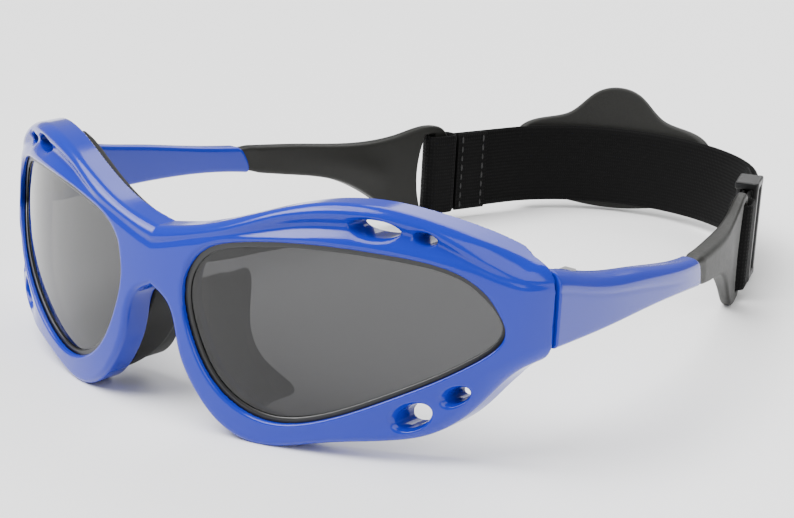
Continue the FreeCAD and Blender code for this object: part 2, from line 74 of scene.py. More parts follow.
def make_piece(name, points, faces, material, normals=None, uv=None, smooth=True):
    mesh = bpy.data.meshes.new(name)
    mesh.from_pydata((np.asarray(points) * 0.001).tolist(), [], [tuple(f) for f in faces])
    mesh.materials.append(material)
    if uv is not None:
        layer = mesh.uv_layers.new(name="UVMap")
        loops = np.empty(len(mesh.loops), int)
        mesh.loops.foreach_get("vertex_index", loops)
        layer.data.foreach_set("uv", np.asarray(uv, np.float32)[loops].ravel())
    mesh.polygons.foreach_set("use_smooth", [smooth] * len(mesh.polygons))
    mesh.update()
    if normals is None:
        mesh.set_sharp_from_angle(angle=math.radians(38))
    else:
        mesh.normals_split_custom_set_from_vertices([tuple(n) for n in normals])
    piece = bpy.data.objects.new(name, mesh)
    bpy.context.scene.collection.objects.link(piece)
    print(name, len(mesh.polygons), "faces")
    return piece


def settle(piece, body, nodes):
    """Fix a finished piece to a body, in place of its CAD nodes."""
    if isinstance(body, str):
        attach(piece, body)
    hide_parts(*nodes)
    return piece


def make_pair(node, points, faces, material, body=None, normals=None, uv=None):
    """The left piece and its mirrored right twin."""
    points = np.asarray(points)
    flip = np.array([-1.0, 1.0, 1.0])
    turned = [tuple(reversed(f)) for f in faces]
    pair = (make_piece("left_" + node, points, faces, material, normals, uv),
            make_piece("right_" + node, points * flip, turned, material,
                       None if normals is None else normals * flip, uv))
    for side, piece in zip(("left", "right"), pair):
        settle(piece, body or side + "_temple", [node + "_" + side])
    return pair


# %% [markdown]
# Outlines on the drawing are smooth curves through a few points, the way a
# designer pulls a spline. The same curve gives the edge of a lens, the lens
# opening and the gasket, so the three always fit each other.

# %% Curves


def curve_through(points, closed=False, steps=24):
    """Smooth cubic curve through the points, as a dense polyline."""
    p = np.asarray(points, float)
    if closed:
        p = np.vstack([p[-3:], p, p[:4]])
    t = np.concatenate([[0], np.cumsum(np.linalg.norm(np.diff(p, axis=0), axis=1))])
    n = len(p)
    h = np.diff(t)
    a = np.zeros((n, n))
    b = np.zeros_like(p)
    a[0, 0] = a[-1, -1] = 1
    for i in range(1, n - 1):
        a[i, i - 1:i + 2] = h[i - 1], 2 * (h[i - 1] + h[i]), h[i]
        b[i] = 6 * ((p[i + 1] - p[i]) / h[i] - (p[i] - p[i - 1]) / h[i - 1])
    m = np.linalg.solve(a, b)
    out = []
    first, last = (3, n - 4) if closed else (0, n - 1)
    for i in range(first, last):
        u = np.linspace(0, 1, steps, endpoint=False)[:, None]
        w = 1 - u
        out.append(w * p[i] + u * p[i + 1] + h[i] ** 2 / 6
                   * ((w ** 3 - w) * m[i] + (u ** 3 - u) * m[i + 1]))
    if not closed:
        out.append(p[-1:])
    return np.vstack(out)


def even(line, count, closed=False):
    """The polyline again with evenly spaced points."""
    if closed:
        line = np.vstack([line, line[:1]])
    t = np.concatenate([[0], np.cumsum(np.linalg.norm(np.diff(line, axis=0), axis=1))])
    want = np.linspace(0, t[-1], count + (1 if closed else 0))[:count]
    return np.stack([np.interp(want, t, line[:, k]) for k in range(line.shape[1])], axis=1)


def signed_distance(line, x, z):
    """Distance to a closed outline, negative inside it."""
    if x.ndim == 3:
        flat = signed_distance(line, x[:, :, 0], z[:, :, 0])
        return np.repeat(flat[:, :, None], x.shape[2], axis=2)
    shape = x.shape
    x, z = x.ravel(), z.ravel()
    a = line
    b = np.roll(line, -1, axis=0)
    out = np.empty(len(x))
    for s in range(0, len(x), 20000):
        px, pz = x[s:s + 20000, None], z[s:s + 20000, None]
        ex, ez = b[:, 0] - a[:, 0], b[:, 1] - a[:, 1]
        wx, wz = px - a[:, 0], pz - a[:, 1]
        u = np.clip((wx * ex + wz * ez) / (ex ** 2 + ez ** 2 + 1e-12), 0, 1)
        near = np.sqrt(((wx - u * ex) ** 2 + (wz - u * ez) ** 2).min(axis=1))
        cross = (a[:, 1] > pz) != (b[:, 1] > pz)
        at = a[:, 0] + (pz - a[:, 1]) * ex / np.where(np.abs(ez) < 1e-12, 1e-12, ez)
        inside = (cross & (px < at)).sum(axis=1) % 2 == 1
        out[s:s + 20000] = np.where(inside, -near, near)
    return out.reshape(shape)


# %% [markdown]
# Injection-moulded parts are blends of simple solids with rounded edges. Each
# one is written as a formula that is negative inside the plastic; rounded
# corners come from how two formulas are joined. A net of small faces is then
# laid where the formula is zero and pulled exactly onto it.

# %% Moulded solids


def both(a, b, r):
    """Overlap of two solids with the shared edge rounded to radius r."""
    return np.minimum(-r, np.maximum(a, b)) + np.hypot(np.maximum(a + r, 0), np.maximum(b + r, 0))


def either(a, b, r):
    """Two solids joined with a fillet of radius r."""
    return -both(-a, -b, r)


def without(a, b, r):
    return both(a, -b, r)


def surface_net(solid, place, lows, highs, step):
    """Faces where solid(x, y, z) is zero; place() bends the grid into x, y, z."""
    axes = [np.arange(lo, hi + s, s) for lo, hi, s in zip(lows, highs, step)]
    grid = np.meshgrid(*axes, indexing="ij")
    field = solid(*place(*grid))
    inside = field < 0
    cells = tuple(n - 1 for n in field.shape)
    total = np.zeros(cells + (3,))
    count = np.zeros(cells)
    edges = []
    for axis in range(3):
        low = [slice(None)] * 3
        high = [slice(None)] * 3
        low[axis], high[axis] = slice(0, -1), slice(1, None)
        f0, f1 = field[tuple(low)], field[tuple(high)]
        hit = inside[tuple(low)] != inside[tuple(high)]
        edges.append((axis, hit, inside[tuple(low)]))
        where = np.where(hit, f0 / np.where(hit, f0 - f1, 1), 0)
        others = [k for k in range(3) if k != axis]
        index = np.meshgrid(*[np.arange(n) for n in hit.shape], indexing="ij")
        for i in (0, 1):
            for j in (0, 1):
                cut = [slice(None)] * 3
                for k, shift in zip(others, (i, j)):
                    cut[k] = slice(shift, hit.shape[k] - 1 + shift)
                cut = tuple(cut)
                part = hit[cut]
                for k in range(3):
                    along = index[k][cut] + (where[cut] if k == axis else 0)
                    total[..., k] += np.where(part, along, 0)
                count += part
    used = count > 0
    number = np.full(cells, -1)
    number[used] = np.arange(used.sum())
    local = total[used] / count[used][:, None]
    params = [np.interp(local[:, k], np.arange(len(axes[k])), axes[k]) for k in range(3)]
    points = np.stack(place(*params), axis=1)
    faces = []
    for axis, hit, start_inside in edges:
        u, v = [k for k in range(3) if k != axis]
        ijk = np.argwhere(hit)
        ijk = ijk[(ijk[:, u] > 0) & (ijk[:, v] > 0)
                  & (ijk[:, u] < cells[u]) & (ijk[:, v] < cells[v])]
        corners = []
        for du, dv in ((-1, -1), (0, -1), (0, 0), (-1, 0)):
            c = ijk.copy()
            c[:, u] += du
            c[:, v] += dv
            corners.append(number[c[:, 0], c[:, 1], c[:, 2]])
        quads = np.stack(corners, axis=1)
        turn = start_inside[tuple(ijk.T)] ^ (axis == 1)
        quads[~turn] = quads[~turn][:, ::-1]
        faces.append(quads)
    faces = np.vstack(faces)
    normals = np.zeros_like(points)
    for turn in range(4):
        e = 0.02
        value = solid(*points.T)
        slope = np.stack([solid(*(points + e * np.eye(3)[k]).T) - value for k in range(3)],
                         axis=1) / e
        length = np.maximum((slope ** 2).sum(axis=1), 0.05)
        normals = unit(slope)
        if turn < 3:
            move = -slope * (value / length)[:, None]
            reach = np.linalg.norm(move, axis=1, keepdims=True)
            points = points + move * np.minimum(1, 0.5 * min(step) / np.maximum(reach, 1e-9))
    a, b, c = (points[faces[:, k]] for k in range(3))
    if (np.cross(b - a, c - a) * normals[faces[:, 0]]).sum() < 0:
        faces = faces[:, ::-1]
    return points, faces, normals


# %% [markdown]
# The glasses are lit by large soft lamps and a broad soft sun, and are seen
# from in front and a little above. The lamps give the gloss its highlights.

# %% Camera and light


def aim(obj, place, target, roll=0.0):
    way = (Vector(target) - Vector(place)).normalized()
    turn = way.to_track_quat("-Z", "Y").to_matrix().to_4x4()
    obj.matrix_world = Matrix.Translation(place) @ turn @ Matrix.Rotation(roll, 4, "Z")


camera = bpy.data.objects.new("camera", bpy.data.cameras.new("camera"))
bpy.context.scene.collection.objects.link(camera)
bpy.context.scene.camera = camera
camera.data.sensor_width = 36
camera.data.lens = 86.0
camera.data.clip_start = 0.01
aim(camera, (0.2286, -0.33335, 0.1315), (0.0148, -0.0441, 0.0221), math.radians(3.05))

for name, place, size, power in (("key", (-0.45, -0.75, 0.95), 0.7, 9.0),
                                 ("fill", (1.1, -0.2, 0.7), 0.9, 8.0),
                                 ("back", (-0.2, 1.0, 0.9), 0.9, 9.0)):
    lamp = bpy.data.objects.new(name, bpy.data.lights.new(name, "AREA"))
    lamp.data.size = size
    lamp.data.energy = power
    bpy.context.scene.collection.objects.link(lamp)
    aim(lamp, place, (0, 0, 0.02))

sun = bpy.data.objects.new("sun", bpy.data.lights.new("sun", "SUN"))
sun.data.energy = 5.0
sun.data.angle = math.radians(50)
bpy.context.scene.collection.objects.link(sun)
aim(sun, (-0.5, -0.6, 1.6), (0, 0, 0))

world = bpy.data.worlds.new("world")
bpy.context.scene.world = world
world.use_nodes = True
world.node_tree.nodes["Background"].inputs["Color"].default_value = (1, 1, 1, 1)
world.node_tree.nodes["Background"].inputs["Strength"].default_value = 0.45

# %% [markdown]
# Finishes. The frame is nylon dyed cobalt blue right through and polished in
# the mould, so it is glossy with a thin clear skin and only the faintest
# orange-peel ripple. Rubber is matt and slightly speckled. Webbing gets its
# weave from stripes along and across the strap. Every pattern is measured in
# the piece's own space, so it does not slide when a temple folds.

# %% Finishes


def finish(name, color, roughness, **inputs):
    material = bpy.data.materials.new(name)
    material.use_nodes = True
    shader = material.node_tree.nodes["Principled BSDF"]
    shader.inputs["Base Color"].default_value = (*color, 1)
    shader.inputs["Roughness"].default_value = roughness
    for key, value in inputs.items():
        shader.inputs[key.replace("_", " ")].default_value = value
    return material


def node(material, kind, links=None, **values):
    """Add a shader node; links maps its inputs to other nodes' outputs."""
    made = material.node_tree.nodes.new(kind)
    for key, value in values.items():
        if key in made.inputs:
            made.inputs[key].default_value = value
        else:
            setattr(made, key, value)
    for key, source in (links or {}).items():
        material.node_tree.links.new(source, made.inputs[key])
    return made


def speckle(material, scale, bump, rough=None, tint=None):
    """Fine grain in the surface height and, if asked, in gloss and colour."""
    tree = material.node_tree
    shader = tree.nodes["Principled BSDF"]
    where = node(material, "ShaderNodeTexCoord").outputs["Object"]
    noise = node(material, "ShaderNodeTexNoise", {"Vector": where}, Scale=scale, Detail=4.0)
    raised = node(material, "ShaderNodeBump", {"Height": noise.outputs["Fac"]},
                  Strength=bump, Distance=0.0002)
    tree.links.new(raised.outputs["Normal"], shader.inputs["Normal"])
    if rough:
        broad = node(material, "ShaderNodeTexNoise", {"Vector": where}, Scale=scale / 6, Detail=3.0)
        spread = node(material, "ShaderNodeMapRange", {"Value": broad.outputs["Fac"]})
        spread.inputs["To Min"].default_value, spread.inputs["To Max"].default_value = rough
        tree.links.new(spread.outputs["Result"], shader.inputs["Roughness"])
    if tint:
        ramp = node(material, "ShaderNodeMix", {"Factor": noise.outputs["Fac"]}, data_type="RGBA")
        ramp.inputs["A"].default_value = (*tint[0], 1)
        ramp.inputs["B"].default_value = (*tint[1], 1)
        tree.links.new(ramp.outputs["Result"], shader.inputs["Base Color"])
    return material


blue = speckle(finish("frame_gloss", (0.006, 0.020, 0.34), 0.16, Coat_Weight=0.15,
                      Coat_Roughness=0.03, Specular_IOR_Level=0.3), 900, 0.012, rough=(0.11, 0.2))
soft = speckle(finish("tip_soft_touch", (0.01, 0.01, 0.008), 0.5, Specular_IOR_Level=0.25), 5000, 0.25,
               rough=(0.42, 0.55),
               tint=((0.006, 0.006, 0.005), (0.010, 0.010, 0.008)))
rubber = speckle(finish("pad_rubber", (0.01, 0.01, 0.009), 0.55, Specular_IOR_Level=0.15),
                 4000, 0.25, tint=((0.007, 0.007, 0.006), (0.012, 0.012, 0.010)))
black = speckle(finish("gasket_rubber", (0.006, 0.006, 0.006), 0.35), 3000, 0.1)
plastic = speckle(finish("slider_plastic", (0.006, 0.006, 0.006), 0.38,
                         Specular_IOR_Level=0.3), 2500, 0.15)
thread = speckle(finish("thread", (0.012, 0.012, 0.012), 0.6, Sheen_Weight=0.1), 8000, 0.3)

steel = finish("hinge_steel", (0.30, 0.30, 0.31), 0.3, Metallic=1.0)
where = node(steel, "ShaderNodeTexCoord").outputs["Object"]
stretched = node(steel, "ShaderNodeMapping", {"Vector": where})
stretched.inputs["Scale"].default_value = (400, 400, 9000)
noise = node(steel, "ShaderNodeTexNoise", {"Vector": stretched.outputs["Vector"]}, Scale=1.0)
brushed = node(steel, "ShaderNodeBump", {"Height": noise.outputs["Fac"]}, Strength=0.2,
               Distance=0.0001)
steel.node_tree.links.new(brushed.outputs["Normal"],
                          steel.node_tree.nodes["Principled BSDF"].inputs["Normal"])

# %% [markdown]
# The lenses are grey polarising plastic, their colour darker towards the bottom and lighter towards
# the top. Light passes the tint on the way in and again on the way out.

# %% Lens finish
lens_tint = finish("lens_smoke", (0.4, 0.4, 0.4), 0.0, Transmission_Weight=1.0, IOR=1.45)
where = node(lens_tint, "ShaderNodeTexCoord").outputs["Object"]
height = node(lens_tint, "ShaderNodeSeparateXYZ", {"Vector": where}).outputs["Z"]
shade = node(lens_tint, "ShaderNodeMapRange", {"Value": height})
shade.inputs["From Min"].default_value, shade.inputs["From Max"].default_value = 0.003, 0.039
fade = node(lens_tint, "ShaderNodeMix", {"Factor": shade.outputs["Result"]}, data_type="RGBA")
fade.inputs["A"].default_value = (0.034, 0.034, 0.035, 1)
fade.inputs["B"].default_value = (0.055, 0.055, 0.056, 1)
lens_tint.node_tree.links.new(fade.outputs["Result"],
                              lens_tint.node_tree.nodes["Principled BSDF"].inputs["Base Color"])

# %% [markdown]
# The front wraps round the face: its outer face is part of a barrel, curved
# 89 mm from side to side and 177 mm from brow to cheek. Depth is measured
# from that face inward, so every later step can say "1.2 mm behind the face".

# %% The wrapped face
WRAP, TALL_CURVE, HALF, HIGH, RIM = 89.0, 177.0, 66.6, 46.4, 6.4
MIDDLE = 0.45 * HIGH
SEAM_Y = WRAP - math.sqrt(WRAP ** 2 - HALF ** 2) + 2.4
HINGE = (61.0, SEAM_Y + 2.1)


def depth_of(x, y, z):
    out = np.hypot(x, y - WRAP)
    return TALL_CURVE - np.hypot(TALL_CURVE - WRAP + out, z - MIDDLE)


def on_front(x, z, depth):
    out = WRAP - TALL_CURVE + np.sqrt((TALL_CURVE - depth) ** 2 - (z - MIDDLE) ** 2)
    return x, WRAP - np.sqrt(np.maximum(out ** 2 - x ** 2, 1.0)), z


def share(points):
    return np.array(points) * (HALF, HIGH)


OPENING = even(curve_through(share([
    (0.120, 0.620), (0.165, 0.725), (0.287, 0.795), (0.465, 0.825), (0.664, 0.815),
    (0.820, 0.752), (0.883, 0.660), (0.914, 0.530), (0.856, 0.425), (0.680, 0.262),
    (0.510, 0.140), (0.363, 0.103), (0.231, 0.190), (0.141, 0.395)]), closed=True), 200, True)
BROW = curve_through(share([
    (0.0, 0.780), (0.134, 0.820), (0.321, 0.915), (0.490, 0.985), (0.600, 0.990),
    (0.720, 0.955), (0.860, 0.870), (0.950, 0.795), (1.060, 0.772)]))
CHEEK = curve_through(share([
    (0.0, 0.545), (0.055, 0.500), (0.099, 0.320), (0.150, 0.170), (0.225, 0.052),
    (0.323, -0.006), (0.480, 0.032), (0.640, 0.078), (0.750, 0.112), (0.835, 0.205),
    (0.886, 0.310), (0.945, 0.405), (1.060, 0.475)]))
# The outline is carried past the middle so that the two halves meet smoothly.
SILHOUETTE = np.vstack([[-8, BROW[0, 1]], even(BROW, 110), even(CHEEK, 140)[::-1],
                        [-8, CHEEK[0, 1]]])
VENTS = [(0.608, 0.908, 4.1, 1.5, -4.0), (0.724, 0.886, 1.9, 1.0, -14.0),
         (0.728, 0.196, 3.1, 2.0, 38.0), (0.821, 0.291, 2.0, 1.3, 38.0)]

# %% [markdown]
# A valley runs along under the brow: only a crease over the nose, then a deep
# channel that holds the two upper air vents, then a crease again out to the
# temple. Above it the brow is a fat round ridge; below it a second ridge
# follows the lens. The lower vents sit in a shallow dish.

# %% Relief of the front
VALLEY = curve_through([(-6, 32.9), (0, 33.4), (7, 35.3), (14.5, 37.4), (22, 39.5), (30, 41.4),
                        (37, 42.0), (47.5, 41.0), (52, 39.4), (57, 37.0), (61.5, 34.7),
                        (67.5, 33.0)])


def step(x, low, high):
    t = np.clip((x - low) / (high - low), 0, 1)
    return t * t * (3 - 2 * t)


def relief(x, z):
    """How far the moulded surface lies behind the plain wrapped face."""
    line = np.interp(x, VALLEY[:, 0], VALLEY[:, 1])
    deep = 0.30 + 1.15 * step(x, 15, 27) * (1 - step(x, 48, 57)) - 0.12 * step(x, 56, 62)
    wide = 0.75 + 0.85 * step(x, 15, 27) * (1 - step(x, 48, 57))
    valley = deep * np.exp(-((z - line) / wide) ** 2)
    run = np.clip(((x - 46) * 0.8 + (z - 7.5) * 0.6) / 14, 0, 1)
    dish = 0.55 * np.exp(-(((x - 46 - 11.2 * run) ** 2 + (z - 7.5 - 8.4 * run) ** 2) / 9.0))
    return valley + dish


def vent_distance(x, z, vent):
    cx, cz, long, short, slope = vent
    a = math.radians(slope)
    u = (x - cx * HALF) * math.cos(a) + (z - cz * HIGH) * math.sin(a)
    v = -(x - cx * HALF) * math.sin(a) + (z - cz * HIGH) * math.cos(a)
    k = np.hypot(u / long, v / short)
    return (k - 1) * k / np.maximum(np.hypot(u / long ** 2, v / short ** 2), 1e-6)


# %% [markdown]
# The front is moulded in one piece: the wrapped sheet inside its outline,
# rounded all round, minus the lens openings with the channel that grips each
# gasket, the vents with a small bevel, and the pocket where the hinge turns.

# %% Front frame


def front_solid(x, y, z):
    x = np.abs(x)
    depth = depth_of(x, y, z)
    outline = signed_distance(SILHOUETTE, x, z)
    hole = signed_distance(OPENING, x, z)
    upper = z > np.interp(x, [0, 12, 30, 67], [30, 30, 25, 28])
    corner = np.where(upper, 2.2 + 1.1 * step(x, 54, 62), 1.3 + 1.1 * step(x, 40, 56))
    face = both(relief(x, z) - depth, x - HALF, 4.0)
    body = both(face, outline, corner)
    body = both(body, depth - RIM, 0.3)
    body = both(body, y - SEAM_Y, 0.3)
    lip = 0.55 + 0.9 * step(z, 28, 34)
    body = without(body, hole, np.minimum(lip, 1.2))
    groove = np.maximum(hole - 1.4, np.abs(depth - 2.65) - 1.45)
    body = np.maximum(body, -groove)
    for vent in VENTS:
        body = without(body, vent_distance(x, z, vent) - 0.5 * np.clip(1.4 - depth, 0, 1.4), 0.35)
    pocket = np.hypot(x - HINGE[0], y - HINGE[1]) - 2.3
    plate = np.maximum(np.abs(x - 62.2) - 2.35, SEAM_Y - 1.15 - y)
    plate = np.maximum(plate, np.abs(z - 29.5) - 4.55)
    body = np.maximum(body, -np.minimum(pocket, plate))
    return np.maximum(body, -z)


pitch = 0.34
points, faces, normals = surface_net(front_solid, on_front, (-67.9, -0.5, -0.9), (67.9, 46.6, 7.6),
                                     (pitch, pitch, pitch))
points[:, 1] += BENCH_Y
settle(make_piece("front_moulding", points, faces, blue, normals), "front", ["front_frame"])

# %% [markdown]
# Each lens is a thin shell cut from the same barrel curve, 1.8 mm thick. Its
# edge runs 0.6 mm past the visible opening so the gasket can grip it.

# %% Lenses


def grown(line, by):
    """A closed outline moved outward by so many millimetres."""
    run = np.roll(line, -1, axis=0) - np.roll(line, 1, axis=0)
    out = unit(np.stack([run[:, 1], -run[:, 0]], axis=1))
    if ((line - line.mean(axis=0)) * out).sum() < 0:
        out = -out
    return line + out * by


def facing(points):
    """Direction straight out of the wrapped face at each bench point."""
    e = 0.01
    value = depth_of(*points.T)
    return -unit(np.stack([depth_of(*(points + e * np.eye(3)[k]).T) - value for k in range(3)],
                          axis=1))


def ring_faces(rings, around, start=0):
    quads = []
    for r in range(rings - 1):
        for i in range(around):
            j = (i + 1) % around
            quads.append((start + r * around + i, start + r * around + j,
                          start + (r + 1) * around + j, start + (r + 1) * around + i))
    return quads


edge = grown(OPENING, 0.6)
heart = np.array([38.0, 22.5])
shells, ways = [], []
steps = np.linspace(1, 0.04, 22)
for depth, sign in ((1.75, 1), (3.55, -1)):
    order = steps if sign < 0 else steps[::-1]
    flat = np.vstack([heart + (edge - heart) * k for k in order])
    shell = np.stack(on_front(flat[:, 0], flat[:, 1], np.full(len(flat), depth)), axis=1)
    shells.append(shell)
    ways.append(facing(shell) * sign)
lens_points, lens_normals = np.vstack(shells), np.vstack(ways)
around, total = len(edge), len(lens_points)
lens_faces = ring_faces(2 * len(steps), around)
lens_faces += [tuple(range(around))[::-1], tuple(range(total - around, total))]
a, b, c = (lens_points[[f[k] for f in lens_faces[:500]]] for k in range(3))
if (np.cross(b - a, c - a) * lens_normals[[f[0] for f in lens_faces[:500]]]).sum() < 0:
    lens_faces = [f[::-1] for f in lens_faces]
lens_points[:, 1] += BENCH_Y
make_pair("lens", lens_points, lens_faces, lens_tint, "front", lens_normals)

# %% [markdown]
# The gasket is a black rubber channel, U-shaped in section, pressed over the
# lens edge. Only its lip shows, as a dark line inside the rim.

# %% Gaskets
CHANNEL = [(1.3, 1.3), (-0.5, 1.3), (-0.8, 1.38), (-0.95, 1.55), (-0.95, 1.72), (0.62, 1.72),
           (0.62, 3.58), (-0.95, 3.58), (-0.95, 3.75), (-0.8, 3.92), (-0.5, 4.0), (1.3, 4.0)]
rows = []
for out, depth in CHANNEL:
    line = grown(OPENING, out)
    rows.append(np.stack(on_front(line[:, 0], line[:, 1], np.full(len(line), depth)), axis=1))
gasket_points = np.vstack(rows + rows[:1])[:len(CHANNEL) * around]
gasket_points[:, 1] += BENCH_Y
gasket_faces = [tuple(k % (len(CHANNEL) * around) for k in f)
                for f in ring_faces(len(CHANNEL) + 1, around)]
make_pair("lens_gasket", gasket_points, gasket_faces, black, "front")

# %% [markdown]
# Soft rubber touches the face in two places. A wall stands back from the rim
# on each side of the nose, tallest at the middle, and a strip lines the brow
# and the top of the bridge.

# %% Nose and brow pads
NOSE_BAND = even(curve_through(share([
    (0.118, 0.585), (0.141, 0.400), (0.231, 0.195), (0.310, 0.125),
    (0.260, 0.075), (0.170, 0.130), (0.105, 0.330), (0.080, 0.560)]), closed=True), 90, True)
NOSE_REACH = curve_through([(7.4, 0.70 * HIGH), (12.9, 0.60 * HIGH), (16.9, 0.45 * HIGH),
                            (17.4, 0.32 * HIGH), (14.4, 0.15 * HIGH), (7.4, 0.03 * HIGH)])
NOSE_SIDE = np.vstack([even(NOSE_REACH, 60), [[-3, 0.03 * HIGH], [-3, 0.70 * HIGH]]])


def nose_solid(x, y, z):
    depth = depth_of(x, y, z)
    wall = both(signed_distance(NOSE_BAND, x, z), signed_distance(NOSE_SIDE, y, z), 1.4)
    return np.maximum(wall, RIM - 0.05 - depth)


def on_bench(x, z, y):
    return x, y, z


points, faces, normals = surface_net(nose_solid, on_bench, (3, 1, 5.5), (22, 29, 18.6),
                                     (0.4, 0.4, 0.4))
points[:, 1] += BENCH_Y
make_pair("nose_pad", points, faces, rubber, "front", normals)

top = share([(0.0, 0.745), (0.134, 0.785), (0.321, 0.880), (0.490, 0.950), (0.556, 0.955)])
top[:, 0] *= 37.0 / top[-1, 0]
low = top - np.array([[0, 6.0], [0, 6.0], [0, 6.0], [0, 4.8], [0, 0.6]])
BROW_BAND = np.vstack([[-8, top[0, 1]], curve_through(top), curve_through(low)[::-1],
                       [-8, low[0, 1]]])


def brow_solid(x, y, z):
    depth = depth_of(x, y, z)
    strip = both(signed_distance(BROW_BAND, np.abs(x), z), depth - RIM - 3.2, 1.3)
    return np.maximum(strip, RIM - 0.05 - depth)


points, faces, normals = surface_net(brow_solid, on_front, (-38.4, 27.5, 6.0), (38.4, 45.5, 10.2),
                                     (0.45, 0.45, 0.35))
points[:, 1] += BENCH_Y
settle(make_piece("brow_strip", points, faces, rubber, normals), "front", ["brow_pad"])

# %% [markdown]
# A temple is one curved arm. The front half is the same blue nylon as the
# frame; the back half is soft black rubber moulded over its core. Seen from
# above it curls inward round the head; seen from the side it narrows to a
# neck and then flares into a tail with a slot for the strap.

# %% Temple outlines
REACH = 116.2
NECK_Y = HINGE[1] + 57.5
TIP_Y = HINGE[1] + REACH
PLAN = curve_through([(HINGE[1] + REACH * s, HALF - 2.3 - 22.4 * i) for s, i in (
    (-0.08, -0.005), (0.0, 0.0), (0.15, 0.01), (0.30, 0.05), (0.46, 0.14), (0.62, 0.35),
    (0.80, 0.66), (1.0, 1.0), (1.08, 1.14))])
START, BLUE, TAIL = SEAM_Y + 0.4, NECK_Y - SEAM_Y - 0.4, TIP_Y - NECK_Y
TOP = curve_through([
    (START - 3, 36.6), (START, 36.0), (START + BLUE * 0.23, 32.54), (START + BLUE * 0.50, 29.74),
    (START + BLUE * 0.82, 26.5), (NECK_Y, 25.2), (NECK_Y + TAIL * 0.28, 23.8),
    (NECK_Y + TAIL * 0.56, 22.5), (NECK_Y + TAIL * 0.76, 23.7), (NECK_Y + TAIL * 0.88, 25.1),
    (NECK_Y + TAIL * 0.955, 24.2), (TIP_Y, 20.2)])
BOTTOM = curve_through([
    (START - 3, 21.9), (START, 21.8), (START + BLUE * 0.30, 21.38), (START + BLUE * 0.60, 21.1),
    (NECK_Y, 19.0), (NECK_Y + TAIL * 0.20, 17.0), (NECK_Y + TAIL * 0.44, 14.0),
    (NECK_Y + TAIL * 0.58, 9.88), (NECK_Y + TAIL * 0.70, 4.56), (NECK_Y + TAIL * 0.80, 0.4),
    (NECK_Y + TAIL * 0.88, -0.25), (NECK_Y + TAIL * 0.95, 0.4), (TIP_Y, 4.6)])
SIDE = np.vstack([even(TOP, 110), even(BOTTOM, 110)[::-1]])
slot_back = TIP_Y - 5.0
slot_front = slot_back - 2.8
bow = [(slot_front - 2.0 * (1 - u * u), 12.6 + 10.4 * u) for u in np.linspace(-1, 1, 25)]
SLOT = np.array(bow + [(slot_back, 23.0), (slot_back, 2.2)])


def middle_of(y):
    """Middle line of the arm in plan, and the cosine of its lean."""
    x = np.interp(y, PLAN[:, 0], PLAN[:, 1])
    ahead = np.interp(y + 0.5, PLAN[:, 0], PLAN[:, 1])
    behind = np.interp(y - 0.5, PLAN[:, 0], PLAN[:, 1])
    return x, 1 / np.hypot(1, ahead - behind)


def on_arm(y, z, t):
    x, lean = middle_of(y)
    return x + t / lean, y, z


# %% [markdown]
# The outer top edge of the arm is a broad bevel that starts at the brow and
# fades towards the neck, marked below by a faint crease. Behind the neck a
# spine keeps the tail stiff while its wings thin out around the slot.

# %% Arm shape


def arm_solid(x, y, z):
    centre, lean = middle_of(y)
    t = (x - centre) * lean
    along = (y - HINGE[1]) / REACH
    top = np.interp(y, TOP[:, 0], TOP[:, 1])
    bottom = np.interp(y, BOTTOM[:, 0], BOTTOM[:, 1])
    outline = signed_distance(SIDE, y, z)
    half = np.where(along < 0.5, 2.3 - 0.4 * along, 2.1 - 1.6 * (along - 0.5))
    tail = step(along, 0.52, 0.8)
    half = half - 0.15 * step(along, 0.8, 0.88)
    spine = bottom + (top - bottom) * (0.5 - 0.05 * tail)
    half = half + tail * (0.9 * np.exp(-((z - spine) / 4.0) ** 2) * (1 - step(along, 0.76, 0.875)))
    crease = 0.14 * np.exp(-((z - top + 3.6) / 0.5) ** 2) * (1 - step(along, 0.3, 0.46))
    high = z > (top + bottom) / 2
    edge = np.where(high, 3.3 - 1.7 * step(along, 0.1, 0.5) - 0.7 * tail, 1.1 - 0.2 * tail)
    edge = np.minimum(edge, 2 * half - 1.3)
    body = both(t - half + crease, outline, edge)
    return both(body, -t - half, 1.0 - 0.1 * tail)


def seam_at(z):
    """Where blue meets black: a leaning, slightly bowed line."""
    return NECK_Y - 0.419 * (z - 22.1) + 0.7 - 0.07 * (z - 22.1) ** 2


def blue_solid(x, y, z):
    body = both(arm_solid(x, y, z), y - seam_at(z) + 0.06, 0.7)
    body = both(body, START - y, 0.3)
    tab = np.maximum(np.maximum(np.abs(x - 62.5) - 1.2, np.abs(y - HINGE[1] - 3.6) - 4.05),
                     np.abs(z - 29.5) - 4.55)
    pocket = np.hypot(x - HINGE[0], y - HINGE[1]) - 2.3
    return np.maximum(body, -np.minimum(pocket, tab))


def tip_solid(x, y, z):
    inset = 0.4 * (1 - step(y - seam_at(z), 0.2, 4.0))
    body = np.maximum(arm_solid(x, y, z) + inset, seam_at(z) - 0.5 - y)
    body = without(body, signed_distance(SLOT, y, z), 0.45)
    return np.maximum(body, -z)


pitch = 0.32
for name, solid, lows, highs, material in (
        ("temple", blue_solid, (START - 0.6, 17.8, -3.0), (NECK_Y + 3, 37.2, 3.2), blue),
        ("temple_tip", tip_solid, (NECK_Y - 3, -0.8, -3.4), (TIP_Y + 0.8, 26.4, 3.4), soft)):
    points, faces, normals = surface_net(solid, on_arm, lows, highs, (pitch,) * 3)
    points[:, 1] += BENCH_Y
    make_pair(name, points, faces, material,
              normals=normals)

# %% [markdown]
# The hinges are stamped steel: a leaf in the front, a leaf in the temple and a
# small screw through both. They stay exactly as drawn, because their fit is
# what lets the temple fold; they only get a brushed metal finish.

# %% Hinges
for part in ("hinge_front_leaf", "hinge_temple_leaf", "hinge_screw"):
    for side in ("left", "right"):
        for holder in bpy.data.objects[part + "_" + side].material_slots:
            holder.material = steel
print("steel on both hinges")

